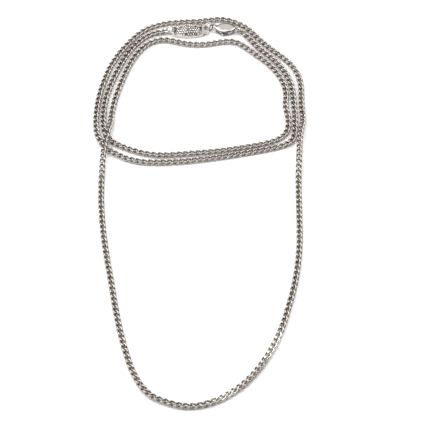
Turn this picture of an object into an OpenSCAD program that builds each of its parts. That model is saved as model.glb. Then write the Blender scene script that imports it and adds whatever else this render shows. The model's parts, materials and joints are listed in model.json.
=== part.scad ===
// Long curb-chain necklace with a lobster clasp and a stone-set oval tag.
// It lies flat: two small loops side by side, closed by the clasp, and one long drop loop.
// One chain runs from the tag's ring through every strand to the clasp's ring.
// Origin: middle of the laid-out necklace, on the surface that it rests on. Units: mm.

/* [Chain] */
// Thickness of the link wire
wire_d = 0.76; // [0.70:0.01:0.78]
// Middle-line radius of a link's round ends
end_r = 1.32; // [1.31:0.01:1.34]
// Distance from one link to the next
pitch = 3.13; // [3.08:0.01:3.15]

/* [Jump rings] */
// Thickness of the ring wire
ring_wire = 0.86; // [0.70:0.01:0.88]
// Middle-line radius of a ring
ring_r = 1.95; // [1.93:0.01:1.97]
// Lean of a ring from lying flat, in degrees
ring_lean = 65; // [62:1:68]

/* [Tag] */
// Half length of the tag, lugs included
tag_half = 9.7; // [9.6:0.05:9.8]
// Half width of the tag
tag_wide = 4.3; // [4.1:0.1:4.4]
// Height of the tag's rim
rim_h = 1.6; // [1.4:0.1:1.8]
// Height of the domed crown
crown_h = 3.5; // [3.4:0.1:3.7]
// Diameter of a stone
stone_d = 1.05; // [0.9:0.05:1.1]

/* [Clasp] */
// Thickness of the clasp body
clasp_h = 3.2; // [3.0:0.1:3.3]
// Thickness of the sprung lever
lever_h = 0.8; // [0.6:0.05:0.9]
// Diameter of the lever's pin
pin_d = 0.9; // [0.8:0.05:1.0]

/* [Hidden] */
$fn = 32;

silver = "silver";
dark_silver = "darkgray";
stone_white = "lightcyan";

// A link is bent so that its ends tilt opposite ways. The sides of a 336-527-625 triangle give
// the tilt a short sine and cosine, so that the arcs of one link meet exactly.
tilt = atan2(336, 527);
side_r = end_r * 336 / 625;

// Route of the chain, one strand after another: [x, y, lift, roll].
// Lift is the height above lying on the surface. Roll turns the links about the chain's own line.
over = 2.3;
left_middle = [
  [-16.35, 111, 0.55], [-20, 110.7, 0.2], [-25, 109.3], [-28.5, 106.8], [-31.5, 103.5],
  [-34.5, 99.5], [-37.3, 94.5], [-39.8, 89], [-41.8, 83.5], [-43.8, 77.5], [-45.5, 71.5],
  [-46.8, 66], [-47.6, 60], [-47.9, 54], [-47.8, 48], [-46.8, 42], [-44, 37.3]
];
front_upper_run = [
  [-39.5, 33.8], [-33.5, 30.8], [-26.5, 28.4], [-19, 27.4], [-9.5, 28], [0.5, 29], [10, 30.2],
  [20, 32], [29, 34], [36, 36.3], [40.5, 38.8]
];
right_inner = [
  [43.3, 42.5], [44.2, 47.5], [44, 53], [43.3, 57, 0, 6], [42.9, 60, 0, 12],
  [43.1, 63, 0, 6], [43.4, 66], [43.1, 71], [42, 76], [39.8, 81], [37, 85.7], [33.5, 90],
  [29.5, 94], [25.5, 98], [22, 101.3]
];
front_strand = [
  [18.3, 103.8], [13.8, 104.3], [9.5, 103.6], [4, 102.4], [-2, 102], [-8, 102.8], [-14, 104.6],
  [-18.5, 105.3]
];
left_inner = [
  [-23, 104.5], [-26.8, 102.2], [-29.8, 98.8], [-32.5, 94.7], [-34.8, 90], [-36.7, 85],
  [-38.6, 79], [-40.4, 72.5], [-42, 66], [-43.1, 60], [-43.8, 54], [-44, 48, 1.3],
  [-45, 42, over], [-46.2, 36, over], [-46.8, 30, over], [-47.2, 24, over],
  [-47.4, 18.5, 1.5], [-47.5, 12.5, 0.3]
];
left_leg = [
  [-47.5, 6], [-47.2, -3], [-46.4, -13.5], [-45, -26], [-43.2, -38], [-41.2, -49.5],
  [-39.3, -61.5], [-37.3, -73], [-34.8, -84.5], [-32.3, -94], [-29.2, -103], [-25.2, -110.5],
  [-20.5, -115.5]
];
bottom_run = [
  [-15, -118.3], [-9, -120.3], [-3.5, -121], [2.5, -120.2, 0, 10], [8.5, -118, 0, 25],
  [14, -114.8, 0, 40]
];
right_leg = [
  [20, -110, 0, 50], [25.5, -103.7, 0, 50], [30.5, -96, 0, 45], [35, -87, 0, 30],
  [39.1, -76, 0, 12], [42.2, -64.5], [45, -52.5], [47, -39], [48, -26], [48.2, -13.5],
  [48.2, -1], [48.3, 6]
];
right_outer = [
  [48.4, 12.5, 0.3], [48.6, 18.5, 1.5], [48.9, 24, over], [49.2, 30, over], [49.6, 36, over],
  [50.3, 42, over], [51.3, 48, 1.3], [51.5, 54], [51.1, 60], [51.1, 66], [51.1, 72], [50.5, 78],
  [48.8, 83.5], [46, 88.5], [42.5, 92.7], [38.7, 96.5], [35, 100.3], [31.5, 104.3],
  [28, 109]
];
top_back_run = [
  [24, 113.7], [19.5, 117], [14.5, 119.2], [9.5, 119.8], [4.5, 119.3], [-0.5, 118.5],
  [-6, 118.1], [-12, 117.7], [-17.5, 116.9]
];
left_outer = [
  [-23, 115.2], [-28, 112.6], [-31.9, 109], [-35.2, 104.8], [-38.3, 100.3], [-41.2, 95.5],
  [-43.8, 90.3], [-46, 84.8], [-47.8, 78.6], [-49.3, 72.5], [-50.5, 66], [-51.2, 60],
  [-51.5, 54], [-51.5, 48], [-50.8, 42], [-49, 36.8]
];
front_lower_run = [
  [-46, 32.3], [-41.5, 28.7], [-35, 25], [-27.5, 23], [-19, 22.7], [-9.5, 23.3], [0.5, 24.6],
  [10, 26.2], [20, 28.2], [29, 30.2], [36, 32], [42, 34]
];
right_middle = [
  [46, 37], [47.3, 42], [47.6, 48], [47.6, 54], [47.3, 60], [47, 66], [46.6, 71.5],
  [45.5, 77], [43.6, 82], [41, 86.7], [37.7, 91.3], [33.7, 95.7], [29.8, 99.8],
  [26, 105, 0.3], [21.7, 110.6, 0.55]
];
route = concat(
  left_middle, front_upper_run, right_inner, front_strand, left_inner, left_leg, bottom_run,
  right_leg, right_outer, top_back_run, left_outer, front_lower_run, right_middle
);

// Lines along X where every strand has a meeting of two links, so that the laid-out necklace
// bends there as a sheet of chain does.
upper_rows = [78.3, 66, 53.7];
drop_rows = [for (k = [0:7]) 5 - 12.3 * k];
rows = concat(upper_rows, drop_rows);

// Names of the chain runs between rows, in the order of the route.
run_names = [
  "top_left_middle", "left_middle_1", "left_middle_2", "front_upper",
  "right_inner_2", "right_inner_1", "top_front", "left_inner_1", "left_inner_2",
  "left_crossing",
  "left_drop_1", "left_drop_2", "left_drop_3", "left_drop_4", "left_drop_5", "left_drop_6",
  "left_drop_7",
  "drop_bottom",
  "right_drop_7", "right_drop_6", "right_drop_5", "right_drop_4", "right_drop_3",
  "right_drop_2", "right_drop_1",
  "right_crossing",
  "right_outer_2", "right_outer_1", "top_back", "left_outer_1", "left_outer_2",
  "front_lower",
  "right_middle_2", "right_middle_1", "top_right_middle"
];

// Jump rings: centre and turn about the vertical. The tag's ring leans the other way, across the
// slope of the end link that it holds.
tag_ring_lean = 165 - ring_lean;
tag_ring_at = [-15.2, 111];
tag_ring_turn = -4;
closing_ring_at = [4.7, 113.6];
closing_ring_turn = 24;
clasp_ring_at = [20.6, 111.3];
clasp_ring_turn = -36;

// Tag: its middle, its turn and its lugs.
tag_at = [-5, 111.7];
tag_turn = 4;
lug_z = 1.75;
lug_h = 0.8;
left_hole = [-8.2, 0];
left_hole_r = 1;
right_hole = [8.15, 0.3];
right_hole_r = 1.1;
edge_r = 24.7;
crown_x = -1.1;
crown_half = 6.9;
barrel_r = 5.2;
barrel_long = 17;
// The body reaches this much further than the crown.
base_ledge = 0.35;
// The crown stands this far inside the rim.
crown_inset = 0.6;
// Stones: room in their seats, spacing, how far along they reach, and less for each outer row.
stone_seat = 0.03;
stone_gap = 1.25;
stone_reach = 5.5;
row_taper = 0.3;
last_row = 2.5;
// Heights of a stone's crown, girdle and pavilion, and its table and culet as parts of it.
stone_crown_h = 0.22;
girdle_h = 0.1;
pavilion_h = 0.4;
girdle_sunk = 0.15;
table_share = 0.6;
culet_share = 0.2;

// Longer than any piece is thick or wide, for cuts that pass right through it.
through = 20;

// Clasp: its middle line starts at the claw's outside and ends in the eye.
clasp_at = [4.45, 112.5];
hook = [2.5, 1.2];
hook_in = 1.55;
hook_out = 2.35;
claw_h = 1.2;
claw_z = 1.7;
shell_x = 8.6;
shell_half = 5.6;
shell_wide = 3.4;
eye = [14.7, -0.6];
eye_r = 1.8;
eye_hole = 1.15;
eye_h = 0.9;
pivot = [6.6, -1.5];
slot_h = lever_h + 0.2;
pin_low = 0.55;
pin_top = 3.15;
// Gap that the lever closes, between the claw's tip and the shell.
gap_at = [1.9, -4];
gap_size = [4, 4.1];
// Lever: hub, arm from the hub to the claw's tip, and thumb tab, with its room in the slot.
hub_r = 1.35;
hub_room = 0.4;
arm_at = [2.05, -1.3];
arm_wide = 1.15;
arm_arc_at = [5.5, 2.5];
arm_arc_r = 4.9;
arm_room = 0.2;
arm_swing = 20;
tab_out = 2.3;
tab_wide = 1.2;
tab_high = 1.8;
tab_back = 0.2;
tab_r = 0.6;
tab_space_at = [5.6, -5];
tab_space = [4.2, 3.3];
// Spring: where it lies about the pin, how far round it goes, and its wire.
spring_r = 1.55;
spring_from = 20;
spring_turn = 70;
spring_wire = 0.3;

// ---- The route as one smooth line --------------------------------------------------------

steps = 8;

function number(v) = is_undef(v) ? 0 : v;
function point(i) =
  let (p = route[max(0, min(len(route) - 1, i))])
  [p.x, p.y, number(p[2]), number(p[3])];
function blend(a, b, c, d, t) =
  (2 * b + (c - a) * t + (2 * a - 5 * b + 4 * c - d) * t * t + (3 * b - a - 3 * c + d) * t * t * t)
  / 2;
line = [
  for (i = [0:len(route) - 2], k = [0:steps - (i == len(route) - 2 ? 0 : 1)])
    blend(point(i - 1), point(i), point(i + 1), point(i + 2), k / steps)
];
function flat_step(i) = norm([for (c = [0:2]) line[i + 1][c] - line[i][c]]);
along = [
  for (i = 0, s = 0; i < len(line); s = s + (i + 1 < len(line) ? flat_step(i) : 0), i = i + 1) s
];
tables = [for (c = [0:3]) [for (i = [0:len(line) - 1]) [along[i], line[i][c]]]];

// Height of a link's middle when it rests with a roll.
function rest_h(roll) = end_r * sin(min(90, tilt + abs(roll))) + wire_d / 2;
function roll_at(s) = lookup(s, tables[3]);
function place(s) =
  [
    lookup(s, tables[0]), lookup(s, tables[1]),
    max(0, lookup(s, tables[2])) + rest_h(roll_at(s))
  ];

// Where the line crosses a row, the chain is parted between two links.
cuts = concat(
  [0],
  [
    for (i = [0:len(line) - 2], h = rows)
      let (a = line[i].y - h, b = line[i + 1].y - h)
      if ((a < 0) != (b < 0)) along[i] + (along[i + 1] - along[i]) * a / (a - b)
  ],
  [along[len(along) - 1]]
);

// ---- Chain -------------------------------------------------------------------------------

// Part of a turn of wire about Z.
module wire_arc(r, angle, wire) {
  rotate_extrude(angle = angle) translate([r, 0]) circle(d = wire);
}

// One quarter turn from a link's round end down to the middle of its side.
module link_side() {
  translate([0, end_r, 0]) rotate([-tilt, 0, 0]) translate([0, 0, -side_r])
    rotate([90, 0, 0]) rotate([0, 0, 90]) wire_arc(side_r, 90, wire_d);
}

module half_link() {
  translate([side_r, 0, 0]) rotate([tilt, 0, 0]) {
    rotate([0, 0, -90]) wire_arc(end_r, 180, wire_d);
    link_side();
    rotate([180, 0, 0]) link_side();
  }
}

module link() {
  half_link();
  rotate([0, 0, 180]) half_link();
}

// A link between two meeting points.
module link_between(a, b, roll) {
  u = (b - a) / norm(b - a);
  v = cross([0, 0, 1], u) / norm(cross([0, 0, 1], u));
  w = cross(u, v);
  c = (a + b) / 2;
  multmatrix([[u.x, v.x, w.x, c.x], [u.y, v.y, w.y, c.y], [u.z, v.z, w.z, c.z], [0, 0, 0, 1]])
    rotate([roll, 0, 0]) link();
}

module run(name) {
  r = search([name], run_names)[0];
  from = cuts[r];
  length = cuts[r + 1] - from;
  count = round(length / pitch);
  color(silver) for (k = [0:count - 1]) {
    s = from + length * k / count;
    next = from + length * (k + 1) / count;
    link_between(place(s), place(next), (roll_at(s) + roll_at(next)) / 2);
  }
}

// ---- Jump rings --------------------------------------------------------------------------

// A ring leans about its own X line and stands on the surface.
module jump_ring(at, turn, lean) {
  color(silver) translate([at.x, at.y, ring_r * sin(lean) + ring_wire / 2])
    rotate([0, 0, turn]) rotate([lean, 0, 0])
      rotate_extrude() translate([ring_r, 0]) circle(d = ring_wire);
}

module tag_ring() jump_ring(tag_ring_at, tag_ring_turn, tag_ring_lean);
module closing_ring() jump_ring(closing_ring_at, closing_ring_turn, ring_lean);
module clasp_ring() jump_ring(clasp_ring_at, clasp_ring_turn, ring_lean);

// ---- Tag ---------------------------------------------------------------------------------

module on_tag() {
  translate([tag_at.x, tag_at.y, 0]) rotate([0, 0, tag_turn]) children();
}

// Oval made of two wide arcs with rounded ends.
module tag_outline(inset) {
  intersection() {
    translate([0, tag_wide - edge_r]) circle(r = edge_r - inset);
    translate([0, edge_r - tag_wide]) circle(r = edge_r - inset);
    union() {
      for (side = [-1, 1])
        translate([side * (tag_half - tag_wide), 0]) circle(r = tag_wide - inset);
      square([2 * (tag_half - tag_wide), 2 * tag_wide], center = true);
    }
  }
}

// The body stops short of the lugs, so that a ring passes under each of them.
module tag_base() {
  intersection() {
    linear_extrude(rim_h) tag_outline(0);
    translate([crown_x, 0, 0])
      cube([2 * (crown_half + base_ledge), through, through], center = true);
  }
}

module lug_hole(at, r) {
  translate([at.x, at.y, -through / 2]) cylinder(r = r, h = through);
}

module lugs() {
  translate([0, 0, lug_z - lug_h / 2]) linear_extrude(lug_h) tag_outline(0);
}

// Barrel-shaped crown over the stone-set part.
module crown() {
  intersection() {
    translate([crown_x, 0, crown_h - barrel_r]) rotate([0, 90, 0]) barrel();
    translate([crown_x, 0, 0]) cube([2 * crown_half, through, through], center = true);
    translate([0, 0, rim_h / 2]) linear_extrude(crown_h) tag_outline(crown_inset);
  }
}

module barrel() {
  rotate_extrude() intersection() {
    translate([barrel_r - barrel_long, 0]) circle(r = barrel_long);
    translate([0, -barrel_r * 2]) square([barrel_r * 2, barrel_r * 4]);
  }
}

// Stones stand in rows around the barrel, every other row set half a step along.
function barrel_at(x) = barrel_r - barrel_long + sqrt(barrel_long * barrel_long - x * x);
function barrel_slope(x) = asin(x / barrel_long);
stone_rows = [for (k = [-last_row:last_row]) k * stone_gap / barrel_r * 180 / PI];
stones = [
  for (r = [0:len(stone_rows) - 1], k = [-4:4])
    let (x = (k + (r % 2) / 2) * stone_gap)
    if (abs(x) < stone_reach - row_taper * abs(r - last_row)) [x, stone_rows[r]]
];

module at_stones() {
  on_tag() translate([crown_x, 0, crown_h - barrel_r])
    for (s = stones)
      rotate([-s[1], 0, 0]) translate([s[0], 0, barrel_at(s[0])])
        rotate([0, barrel_slope(s[0]), 0]) children();
}

// Round stone: crown, girdle and pavilion, sunk to its girdle.
module stone(grow) {
  r = stone_d / 2 + grow;
  translate([0, 0, girdle_h - girdle_sunk])
    cylinder(r1 = r, r2 = r * table_share, h = stone_crown_h);
  translate([0, 0, -girdle_sunk]) cylinder(r = r, h = girdle_h);
  translate([0, 0, -girdle_sunk - pavilion_h])
    cylinder(r1 = r * culet_share, r2 = r, h = pavilion_h);
}

module tag_body() {
  color(silver) difference() {
    on_tag() difference() {
      union() {
        tag_base();
        lugs();
        crown();
      }
      lug_hole(left_hole, left_hole_r);
      lug_hole(right_hole, right_hole_r);
    }
    at_stones() stone(stone_seat);
  }
}

module tag_stones() {
  color(stone_white) at_stones() stone(0);
}

// ---- Lobster clasp -----------------------------------------------------------------------

module on_clasp() {
  translate([clasp_at.x, clasp_at.y, 0]) children();
}

// A slab of the clasp, centred on a height.
module slab(mid, thick) {
  translate([0, 0, mid - thick / 2]) linear_extrude(thick) children();
}

module shell_outline() {
  arc_r = (shell_half * shell_half + shell_wide * shell_wide) / (2 * shell_wide);
  intersection() {
    translate([shell_x, shell_wide - arc_r]) circle(r = arc_r);
    translate([shell_x, arc_r - shell_wide]) circle(r = arc_r);
  }
}

module clasp_body() {
  mid = clasp_h / 2;
  color(silver) on_clasp() difference() {
    union() {
      slab(mid, clasp_h) difference() {
        shell_outline();
        translate(hook) circle(r = hook_in);
      }
      slab(claw_z, claw_h) difference() {
        translate(hook) circle(r = hook_out);
        translate(hook) circle(r = hook_in);
        translate(gap_at) square(gap_size);
      }
      slab(mid, eye_h) translate(eye) circle(r = eye_r);
    }
    translate([eye.x, eye.y, -through / 2]) cylinder(r = eye_hole, h = through);
    slab(mid, slot_h) lever_space();
    translate([pivot.x, pivot.y, pin_low - 0.05]) cylinder(d = pin_d + 0.02, h = clasp_h);
  }
}

// Room for the lever's hub, arm and thumb tab, over the whole of its swing.
module lever_space() {
  reach = pivot.x - arm_at.x + 1;
  top = arm_at.y + arm_wide - pivot.y + arm_room;
  translate(pivot) circle(r = hub_r + hub_room);
  translate([pivot.x - reach, gap_at.y - 0.5]) square([reach, pivot.y + top - gap_at.y + 0.5]);
  translate(pivot) rotate([0, 0, -arm_swing]) translate([-reach, 0]) square([reach, top]);
  translate(tab_space_at) square(tab_space);
}

module clasp_lever() {
  color(silver) on_clasp() difference() {
    slab(clasp_h / 2, lever_h) union() {
      translate(pivot) circle(r = hub_r);
      lever_arm();
      thumb_tab();
    }
    translate([pivot.x, pivot.y, -through / 2]) cylinder(d = pin_d + 0.06, h = through);
  }
}

module lever_arm() {
  intersection() {
    translate(arm_at) square([pivot.x - arm_at.x, arm_wide]);
    translate(arm_arc_at) circle(r = arm_arc_r);
  }
}

module thumb_tab() {
  translate([pivot.x - tab_back, pivot.y - tab_out]) square([tab_wide, tab_high]);
  translate([pivot.x - tab_back + tab_wide / 2, pivot.y - tab_out]) circle(r = tab_r);
}

module clasp_pin() {
  color(dark_silver) on_clasp()
    translate([pivot.x, pivot.y, pin_low]) cylinder(d = pin_d, h = pin_top - pin_low);
}

// Bent wire between the back of the slot and the lever's hub.
module clasp_spring() {
  color(dark_silver) on_clasp()
    translate([pivot.x, pivot.y, clasp_h / 2]) rotate([0, 0, spring_from])
      wire_arc(spring_r, spring_turn, spring_wire);
}

run("top_left_middle");  // top_left_middle
run("top_front");  // top_front
run("top_back");  // top_back
run("top_right_middle");  // top_right_middle
run("left_outer_1");  // left_outer_1
run("left_middle_1");  // left_middle_1
run("left_inner_1");  // left_inner_1
run("right_inner_1");  // right_inner_1
run("right_middle_1");  // right_middle_1
run("right_outer_1");  // right_outer_1
run("left_outer_2");  // left_outer_2
run("left_middle_2");  // left_middle_2
run("left_inner_2");  // left_inner_2
run("right_inner_2");  // right_inner_2
run("right_middle_2");  // right_middle_2
run("right_outer_2");  // right_outer_2
run("front_upper");  // front_upper
run("front_lower");  // front_lower
run("left_crossing");  // left_crossing
run("right_crossing");  // right_crossing
run("left_drop_1");  // left_drop_1
run("left_drop_2");  // left_drop_2
run("left_drop_3");  // left_drop_3
run("left_drop_4");  // left_drop_4
run("left_drop_5");  // left_drop_5
run("left_drop_6");  // left_drop_6
run("left_drop_7");  // left_drop_7
run("right_drop_1");  // right_drop_1
run("right_drop_2");  // right_drop_2
run("right_drop_3");  // right_drop_3
run("right_drop_4");  // right_drop_4
run("right_drop_5");  // right_drop_5
run("right_drop_6");  // right_drop_6
run("right_drop_7");  // right_drop_7
run("drop_bottom");  // drop_bottom
tag_ring();
closing_ring();
clasp_ring();
tag_body();
tag_stones();
clasp_body();
clasp_lever();
clasp_pin();
clasp_spring();
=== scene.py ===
"""Looks of a long curb-chain necklace with a stone-set tag and a lobster clasp.

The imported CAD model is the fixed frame. Each CAD node is stood for by a finer piece that sits
exactly where the node does: the links' places are read from the CAD meshes themselves.
Lengths are in millimetres until a mesh is made, and in metres from there on.
"""

import json
import math

import bmesh
import bpy
import numpy as np
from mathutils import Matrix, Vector


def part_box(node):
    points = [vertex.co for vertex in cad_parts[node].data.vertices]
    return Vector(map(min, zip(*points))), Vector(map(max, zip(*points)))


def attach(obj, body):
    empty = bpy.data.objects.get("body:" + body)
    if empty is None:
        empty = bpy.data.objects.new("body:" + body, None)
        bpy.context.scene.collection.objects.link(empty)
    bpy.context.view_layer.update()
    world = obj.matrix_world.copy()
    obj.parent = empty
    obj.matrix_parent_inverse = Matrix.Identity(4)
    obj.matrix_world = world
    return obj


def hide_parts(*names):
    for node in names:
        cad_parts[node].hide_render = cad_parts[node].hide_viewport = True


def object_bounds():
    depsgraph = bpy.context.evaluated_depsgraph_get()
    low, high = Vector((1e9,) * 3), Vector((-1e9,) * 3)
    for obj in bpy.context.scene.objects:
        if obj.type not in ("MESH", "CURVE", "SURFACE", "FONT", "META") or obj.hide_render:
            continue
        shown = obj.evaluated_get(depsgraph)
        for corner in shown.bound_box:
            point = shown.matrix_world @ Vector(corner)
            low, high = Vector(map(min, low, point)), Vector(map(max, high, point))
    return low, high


MM = 0.001
UP = np.array([[0, 0, 1.0]])

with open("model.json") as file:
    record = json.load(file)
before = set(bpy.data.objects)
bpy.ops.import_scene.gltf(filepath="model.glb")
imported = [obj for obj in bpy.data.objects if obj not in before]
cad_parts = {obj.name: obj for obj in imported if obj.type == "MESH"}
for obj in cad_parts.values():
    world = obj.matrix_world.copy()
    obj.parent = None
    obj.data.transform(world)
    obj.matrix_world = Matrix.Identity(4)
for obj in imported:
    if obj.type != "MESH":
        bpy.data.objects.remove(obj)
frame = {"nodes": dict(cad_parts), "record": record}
cad_box = [list(corner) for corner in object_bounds()]
nodes = frame["nodes"]
body_of = {
    node: body
    for body, members in frame["record"]["behaviour"]["bodies"].items()
    for node in members
}

# ---- Camera ---------------------------------------------------------------------------------

LOOK_AT = Vector((8.5, -10.5, 0)) * MM
CAMERA_ELEVATION = math.radians(51)
CAMERA_DISTANCE = 1057.7 * MM
SENSOR_WIDTH = 36
LENS = 182.9

camera_data = bpy.data.cameras.new("camera")
camera_data.lens = LENS
camera_data.sensor_width = SENSOR_WIDTH
camera_data.clip_start = 0.05
camera_data.clip_end = 20
camera = bpy.data.objects.new("camera", camera_data)
camera.location = LOOK_AT + CAMERA_DISTANCE * Vector(
    (0, -math.cos(CAMERA_ELEVATION), math.sin(CAMERA_ELEVATION))
)
camera.rotation_euler = (math.pi / 2 - CAMERA_ELEVATION, 0, 0)
bpy.context.scene.collection.objects.link(camera)
bpy.context.scene.camera = camera

# ---- Meshes ---------------------------------------------------------------------------------


def mesh_object(name, verts, faces, smooth=True):
    """A mesh object from points in millimetres."""
    mesh = bpy.data.meshes.new(name)
    mesh.from_pydata((np.asarray(verts) * MM).tolist(), [], [list(f) for f in faces])
    mesh.validate()
    if smooth:
        mesh.polygons.foreach_set("use_smooth", [True] * len(mesh.polygons))
    obj = bpy.data.objects.new(name, mesh)
    bpy.context.scene.collection.objects.link(obj)
    return obj


def paint(obj, name, values):
    """A number on every point of the mesh, for the material to read."""
    layer = obj.data.attributes.new(name, "FLOAT", "POINT")
    layer.data.foreach_set("value", np.asarray(values, np.float32))


def grid_faces(rows, columns, close_rows=True, close_columns=True):
    """Quads of a grid of points, rows times columns, joined up where it closes."""
    r = np.arange(rows if close_rows else rows - 1)
    c = np.arange(columns if close_columns else columns - 1)
    i, j = [a.ravel() for a in np.meshgrid(r, c, indexing="ij")]
    i2, j2 = (i + 1) % rows, (j + 1) % columns
    return np.stack(
        [i * columns + j, i2 * columns + j, i2 * columns + j2, i * columns + j2], 1
    )


def capped_faces(loops, around):
    """Faces of a stack of closed loops of points, with a flat cap at each end."""
    faces = [list(f) for f in grid_faces(loops, around, close_rows=False)]
    faces.append(list(range(around)))
    faces.append(list(range((loops - 1) * around, loops * around))[::-1])
    return faces


def smooth_step(low, high, x):
    """0 below low, 1 above high, and a smooth climb between them."""
    t = np.clip((x - low) / (high - low), 0, 1)
    return t * t * (3 - 2 * t)


def sweep(path, widths, heights, up, around):
    """Points of a closed tube along a closed path. The section is an oval across `up`."""
    ahead = np.roll(path, -1, 0) - np.roll(path, 1, 0)
    ahead /= np.linalg.norm(ahead, axis=1)[:, None]
    side = np.cross(up, ahead)
    side /= np.linalg.norm(side, axis=1)[:, None]
    top = np.cross(ahead, side)
    turn = np.arange(around) * 2 * np.pi / around
    across = np.cos(turn)[None, :, None] * np.asarray(widths)[:, None, None]
    over = np.sin(turn)[None, :, None] * np.asarray(heights)[:, None, None]
    return (path[:, None] + side[:, None] * across + top[:, None] * over).reshape(-1, 3)


def islands(node):
    """Points and triangles of each separate solid of a CAD node, in millimetres."""
    mesh = nodes[node].data
    count = len(mesh.vertices)
    co = np.zeros(count * 3)
    mesh.vertices.foreach_get("co", co)
    co = co.reshape(-1, 3) / MM
    mesh.calc_loop_triangles()
    tri = np.zeros(len(mesh.loop_triangles) * 3, np.int64)
    mesh.loop_triangles.foreach_get("vertices", tri)
    # Points at one place are one point, whatever seams the file has.
    _, same = np.unique(np.round(co, 4), axis=0, return_inverse=True)
    tri = same.reshape(-1)[tri].reshape(-1, 3)
    place = np.zeros((same.max() + 1, 3))
    place[same.reshape(-1)] = co
    label = np.arange(len(place))
    while True:
        low = label[tri].min(1)
        before = label.copy()
        for k in range(3):
            np.minimum.at(label, tri[:, k], low)
        label = label[label]
        if (label == before).all():
            break
    owner = label[tri[:, 0]]
    return [(place, tri[owner == part]) for part in np.unique(owner)]


def axes(place, tri):
    """Centre of a solid's surface and its long, middle and short directions, right-handed."""
    corners = place[tri]
    middle = corners.mean(1)
    area = np.linalg.norm(
        np.cross(corners[:, 1] - corners[:, 0], corners[:, 2] - corners[:, 0]), axis=1
    )
    centre = (middle * area[:, None]).sum(0) / area.sum()
    spread = ((corners - centre)[..., None] * (corners - centre)[..., None, :]).mean(1)
    spread = spread + (middle - centre)[..., None] * (middle - centre)[..., None, :]
    _, directions = np.linalg.eigh((spread * area[:, None, None]).sum(0))
    long, mid = directions[:, 2], directions[:, 1]
    return centre, np.stack([long, mid, np.cross(long, mid)], 1)

# ---- Materials ------------------------------------------------------------------------------


class Nodes:
    """Short calls for building one material's node tree."""

    def __init__(self, name):
        self.material = bpy.data.materials.new(name)
        self.material.use_nodes = True
        self.tree = self.material.node_tree
        self.shader = self.tree.nodes["Principled BSDF"]
        self.place = self.new("ShaderNodeTexCoord").outputs["Object"]

    def new(self, kind, **settings):
        """A node of the given kind."""
        node = self.tree.nodes.new(kind)
        for key, value in settings.items():
            setattr(node, key, value)
        return node

    def link(self, source, target):
        """Joins an output to an input."""
        self.tree.links.new(source, target)

    def attribute(self, name):
        """The number that paint() put on the mesh under this name."""
        return self.new("ShaderNodeAttribute", attribute_name=name).outputs["Fac"]

    def noise(self, size_mm, detail=3, stretch=(1, 1, 1)):
        """Noise whose features are about size_mm across."""
        place = self.new("ShaderNodeMapping")
        place.inputs["Scale"].default_value = [s / (size_mm * MM) for s in stretch]
        self.link(self.place, place.inputs["Vector"])
        noise = self.new("ShaderNodeTexNoise")
        noise.inputs["Scale"].default_value = 1
        noise.inputs["Detail"].default_value = detail
        self.link(place.outputs["Vector"], noise.inputs["Vector"])
        return noise.outputs["Fac"]

    def remap(self, value, from_min, from_max, to_min, to_max):
        """A value stretched from one range to another, and held at its ends."""
        node = self.new("ShaderNodeMapRange")
        for key, number in (
            ("From Min", from_min), ("From Max", from_max), ("To Min", to_min), ("To Max", to_max)
        ):
            node.inputs[key].default_value = number
        self.link(value, node.inputs["Value"])
        return node.outputs["Result"]

    def math(self, operation, a, b):
        """Arithmetic on two values, held between 0 and 1."""
        node = self.new("ShaderNodeMath", operation=operation, use_clamp=True)
        for socket, value in zip(node.inputs, (a, b)):
            if isinstance(value, (int, float)):
                socket.default_value = value
            else:
                self.link(value, socket)
        return node.outputs["Value"]

    def mix(self, factor, a, b):
        """A colour between two colours."""
        node = self.new("ShaderNodeMix", data_type="RGBA")
        self.link(factor, node.inputs["Factor"])
        for socket, value in ((node.inputs[6], a), (node.inputs[7], b)):
            if isinstance(value, tuple):
                socket.default_value = (*value, 1)
            else:
                self.link(value, socket)
        return node.outputs[2]

    def bump(self, height, strength, depth_mm):
        """Fine relief on the shader's normal."""
        node = self.new("ShaderNodeBump")
        node.inputs["Strength"].default_value = strength
        node.inputs["Distance"].default_value = depth_mm * MM
        self.link(height, node.inputs["Height"])
        self.link(node.outputs["Normal"], self.shader.inputs["Normal"])


# Sizes of the marks on polished silver, and how much rougher each kind makes it.
SMEAR_SIZE, SMEAR_ROUGH = 2.6, 0.07
SCRATCH_SIZE, SCRATCH_ROUGH, SCRATCH_DEPTH = 0.11, 0.05, 0.004
SCRATCH_STRETCH = (1, 3.5, 1)
PATCH_SIZE, DARKENED_ROUGH = 0.5, 0.22
SMEAR_SHADE = 0.95


def polished_silver(name, bright, shade_and_tarnish_colour, rough, scratch):
    """Polished silver with scratches and smears, darkened by painted shade and seam tarnish."""
    n = Nodes(name)
    n.shader.inputs["Metallic"].default_value = 1
    smear = n.noise(SMEAR_SIZE, 4)
    fine = n.noise(SCRATCH_SIZE, 2, SCRATCH_STRETCH)
    patches = n.remap(n.noise(PATCH_SIZE, 4), 0.3, 0.65, 0.55, 1)
    # Painted shade and seam tarnish: the mesh's mask, broken into patches, darkens the colour and
    # roughens it.
    shade_and_tarnish = n.math("MULTIPLY", n.attribute("shade_and_tarnish"), patches)
    smeared = tuple(SMEAR_SHADE * c for c in bright)
    warm = n.mix(n.remap(smear, 0.35, 0.7, 0, 1), bright, smeared)
    n.link(n.mix(shade_and_tarnish, warm, shade_and_tarnish_colour), n.shader.inputs["Base Color"])
    worn = n.math(
        "ADD",
        n.remap(smear, 0.3, 0.75, rough, rough + SMEAR_ROUGH),
        n.math("MULTIPLY", shade_and_tarnish, DARKENED_ROUGH),
    )
    scratched = n.remap(fine, 0.4, 0.8, 0, SCRATCH_ROUGH)
    n.link(n.math("ADD", worn, scratched), n.shader.inputs["Roughness"])
    n.bump(fine, scratch, SCRATCH_DEPTH)
    return n.material
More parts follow.
